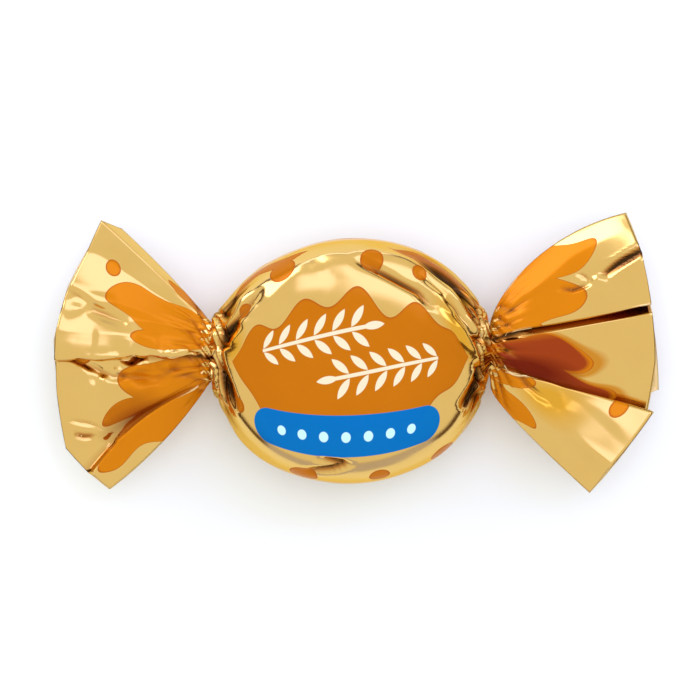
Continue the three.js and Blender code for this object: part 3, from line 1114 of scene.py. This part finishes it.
def caramel_and_gold(tree, u, v, ink, cloud):
    """The colours of the caramel and of the gold beside it, with painted shade and painted
    reflections.
    """
    block_shade = shaded_blocks(u, v)
    gold = tint(tree, cloud, GOLD_DEEP, GOLD)
    gold = tint(tree, REFLECTION_SHARE * gold_reflection(u, v), gold, REFLECTED_GOLD)
    beyond = inked(ink + SHADE_SPREAD, SHADE_SPREAD_EDGE)
    gold = tint(tree, GOLD_SHADE_SHARE * block_shade * beyond, gold, GOLD_SHADED)

    # Painted light: the caramel is brighter on the fans than on the body.
    bright = inked(abs(u) - BRIGHT_FROM, BRIGHT_EDGE)
    bright = BRIGHT_SHARE * bright + (1 - BRIGHT_SHARE) * cloud
    orange = tint(tree, bright, ORANGE_DEEP, ORANGE)
    inset = inked(ink - SHADE_INSET, SHADE_INSET_EDGE)
    orange = tint(tree, block_shade * inset, orange, ORANGE_SHADED)
    # Painted shade on the caramel towards the rim under the left fan's middle.
    orange = tint(tree, TONGUE_SHADE_SHARE * block(u, v, *SHADED_TONGUE), orange, SHADED)
    orange = tint(tree, inked(RIM_WIDTH - ink, RIM_EDGE), orange, ORANGE_RIM)
    return orange, gold


def darkened(tree, colour):
    """The colour with shade painted into the folds: like FOLD_SIDE at half their depth, then
    FOLD_BOTTOM.
    """
    attribute = tree.nodes.new("ShaderNodeAttribute")
    attribute.attribute_name = "fold_shade"
    fold_shade = Term(attribute.outputs["Fac"])
    first_half = Term.of("MULTIPLY", fold_shade, 2.0, clamp=True)
    second_half = Term.of("MULTIPLY_ADD", fold_shade, 2.0, -1.0, clamp=True)
    colour = tint(tree, FOLD_SHARE * first_half, colour, FOLD_SIDE)
    return tint(tree, second_half, colour, FOLD_BOTTOM)


def printed_film():
    material, tree, surface = new_material("printed_gold_film")
    film, u, v = film_coordinates(tree)
    cloud = noise(tree, film, PRINT_CLOUDS)
    ink = caramel(u, v)
    on_caramel = inked(ink)
    blue = inked(blue_band(u, v))
    cream = inked(sprigs(u, v))
    ice = inked(band_dots(u, v))

    orange, gold = caramel_and_gold(tree, u, v, ink, cloud)
    colour = tint(tree, on_caramel, gold, orange)
    colour = tint(tree, blue, colour, BLUE)
    colour = tint(tree, cream, colour, CREAM)
    colour = tint(tree, ice, colour, ICE)
    colour = tint(tree, flap_shade(u, v), colour, SHADED)
    tree.links.new(darkened(tree, colour), surface.inputs["Base Color"])

    pale = larger(cream, ice)
    metal = larger(1.0 - CARAMEL_COVER * on_caramel, blue) * (1.0 - pale)
    tree.links.new(metal.socket, surface.inputs["Metallic"])
    rough = PRINT_ROUGHNESS + CARAMEL_ROUGHNESS * on_caramel + BLUE_ROUGHNESS * blue
    rough = rough + CLOUD_ROUGHNESS * cloud
    tree.links.new(rough.socket, surface.inputs["Roughness"])
    surface.inputs["Specular IOR Level"].default_value = 0.06
    surface.inputs["Specular Tint"].default_value = (*GLANCING, 1.0)
    surface.inputs["Coat Weight"].default_value = 0.08
    surface.inputs["Coat Roughness"].default_value = 0.08
    crinkle(tree, surface, u, v)
    return material


def bare_film():
    """The film's unprinted inner face, which is duller."""
    material, tree, surface = new_material("bare_gold_film")
    film, u, v = film_coordinates(tree)
    cloud = noise(tree, film, BARE_CLOUDS)
    colour = tint(tree, cloud, BARE_GOLD_DEEP, BARE_GOLD)
    tree.links.new(colour, surface.inputs["Base Color"])
    rough = BARE_ROUGHNESS + CLOUD_ROUGHNESS * cloud
    tree.links.new(rough.socket, surface.inputs["Roughness"])
    surface.inputs["Metallic"].default_value = 0.65
    surface.inputs["Specular Tint"].default_value = (*GLANCING, 1.0)
    crinkle(tree, surface, u, v)
    return material


def pale_floor():
    material, tree, surface = new_material("pale_floor")
    coordinates = tree.nodes.new("ShaderNodeTexCoord")
    specks = noise(tree, coordinates.outputs["Object"], FLOOR_SPECKS)
    colour = tint(tree, specks, FLOOR_DEEP, FLOOR_PALE)
    tree.links.new(colour, surface.inputs["Base Color"])
    surface.inputs["Roughness"].default_value = 0.7
    return material


# ------------------------ the piece


def wrap_sweet():
    film = bpy.data.objects.new("film_wrapper", film_mesh())
    bpy.context.scene.collection.objects.link(film)
    film.data.materials.append(printed_film())
    film.data.materials.append(bare_film())
    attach(film, "root")
    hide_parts("wrapped_candy")


# ------------------------ floor, light and camera

# In metres.
FLOOR_HALF = 3.0

# The tent is white down to DIM_FROM degrees above the horizon and dark below DIM_TO. Its windows:
# azimuth from +X towards +Y, elevation, half their width and height, all in degrees, and radiance.
DIM_FROM = 19.0
DIM_TO = 10.0
DARK = (0.11, 0.05, 0.02)
WINDOW_EDGE = 6.0
DAYLIGHT = (0.88, 0.90, 1.45)
WINDOWS = (
    (65, 58, 34, 12, 2.0),
    (92, 7, 15, 5, 2.4),
    (34, 31, 13, 9, 3.0),
    (-90, 7, 36, 9, 0.74),
)

# Softboxes: azimuth and elevation in degrees, distance, width and height in metres, radiance,
# colour, and whether they are seen in mirrors alone, or else light only what is dull.
WARM_WHITE = (1.0, 0.98, 0.94)
SOFTBOXES = {
    "sheen": (125, 22, 1.0, 0.72, 0.44, 3.0, DAYLIGHT, True),
    "key": (125, 22, 1.0, 0.72, 0.44, 2.8, WHITE, False),
    "floor_fill": (0, 90, 1.5, 0.8, 0.8, 2.6, WARM_WHITE, False),
}

# The picture is this wide at the axis's height, round this point of X and Y, in mm.
VIEW_WIDTH = 63.0
VIEW_CENTRE = (-0.045, 0.99)
CAMERA_DISTANCE = 500.0


def set_camera():
    """The camera looks straight down, as in the photograph."""
    data = bpy.data.cameras.new("camera")
    data.sensor_width = 36.0
    data.lens = data.sensor_width * CAMERA_DISTANCE / VIEW_WIDTH
    data.clip_start = 0.01
    data.clip_end = 20.0
    camera = bpy.data.objects.new("camera", data)
    height = AXIS_HEIGHT + CAMERA_DISTANCE
    camera.location = (VIEW_CENTRE[0] * MM, VIEW_CENTRE[1] * MM, height * MM)
    bpy.context.scene.collection.objects.link(camera)
    bpy.context.scene.camera = camera


def lay_floor():
    half = FLOOR_HALF
    corners = [(-half, -half, 0), (half, -half, 0), (half, half, 0), (-half, half, 0)]
    mesh = bpy.data.meshes.new("floor")
    mesh.from_pydata(corners, [], [(0, 1, 2, 3)])
    mesh.materials.append(pale_floor())
    floor = bpy.data.objects.new("floor", mesh)
    bpy.context.scene.collection.objects.link(floor)


def light_tent():
    world = bpy.data.worlds.new("tent")
    bpy.context.scene.world = world
    world.use_nodes = True
    tree = world.node_tree
    tree.nodes.clear()
    Term.tree = tree
    coordinates = tree.nodes.new("ShaderNodeTexCoord")
    split = tree.nodes.new("ShaderNodeSeparateXYZ")
    tree.links.new(coordinates.outputs["Generated"], split.inputs[0])
    x, y, z = (Term(socket) for socket in split.outputs)
    azimuth = Term.of("ARCTAN2", y, x) * math.degrees(1)
    elevation = Term.of("ARCSINE", z) * math.degrees(1)
    upper = inked(elevation - (DIM_FROM + DIM_TO) / 2, DIM_FROM - DIM_TO)
    light = tint(tree, upper, DARK, WHITE)
    for at, up, wide, tall, radiance in WINDOWS:
        aside = abs(wrapped(azimuth - at, -180.0, 180.0))
        share = inked(wide - aside, WINDOW_EDGE) * inked(tall - abs(elevation - up), WINDOW_EDGE)
        light = tint(tree, share, light, tuple(radiance * c for c in DAYLIGHT))
    # The background itself is white.
    seen = tree.nodes.new("ShaderNodeLightPath")
    light = tint(tree, Term(seen.outputs["Is Camera Ray"]), light, WHITE)
    background = tree.nodes.new("ShaderNodeBackground")
    tree.links.new(light, background.inputs["Color"])
    output = tree.nodes.new("ShaderNodeOutputWorld")
    tree.links.new(background.outputs[0], output.inputs[0])


def softbox(name, azimuth, elevation, distance, width, height, radiance, colour, mirrored):
    """A softbox that faces the sweet. radiance is what a mirror would show of it."""
    lamp = bpy.data.lights.new(name, "AREA")
    lamp.shape = "RECTANGLE"
    lamp.size = width
    lamp.size_y = height
    lamp.color = colour
    lamp.energy = radiance * math.pi * width * height
    light = bpy.data.objects.new(name, lamp)
    across = math.cos(math.radians(elevation)) * distance
    place = Vector(
        (
            across * math.cos(math.radians(azimuth)),
            across * math.sin(math.radians(azimuth)),
            math.sin(math.radians(elevation)) * distance,
        )
    )
    light.visible_glossy = mirrored
    light.visible_diffuse = not mirrored
    light.location = place
    light.rotation_euler = (-place).to_track_quat("-Z", "Y").to_euler()
    bpy.context.scene.collection.objects.link(light)


set_camera()
lay_floor()
light_tent()
for name, sizes in SOFTBOXES.items():
    softbox(name, *sizes)
bpy.context.scene.view_settings.view_transform = "Standard"
wrap_sweet()
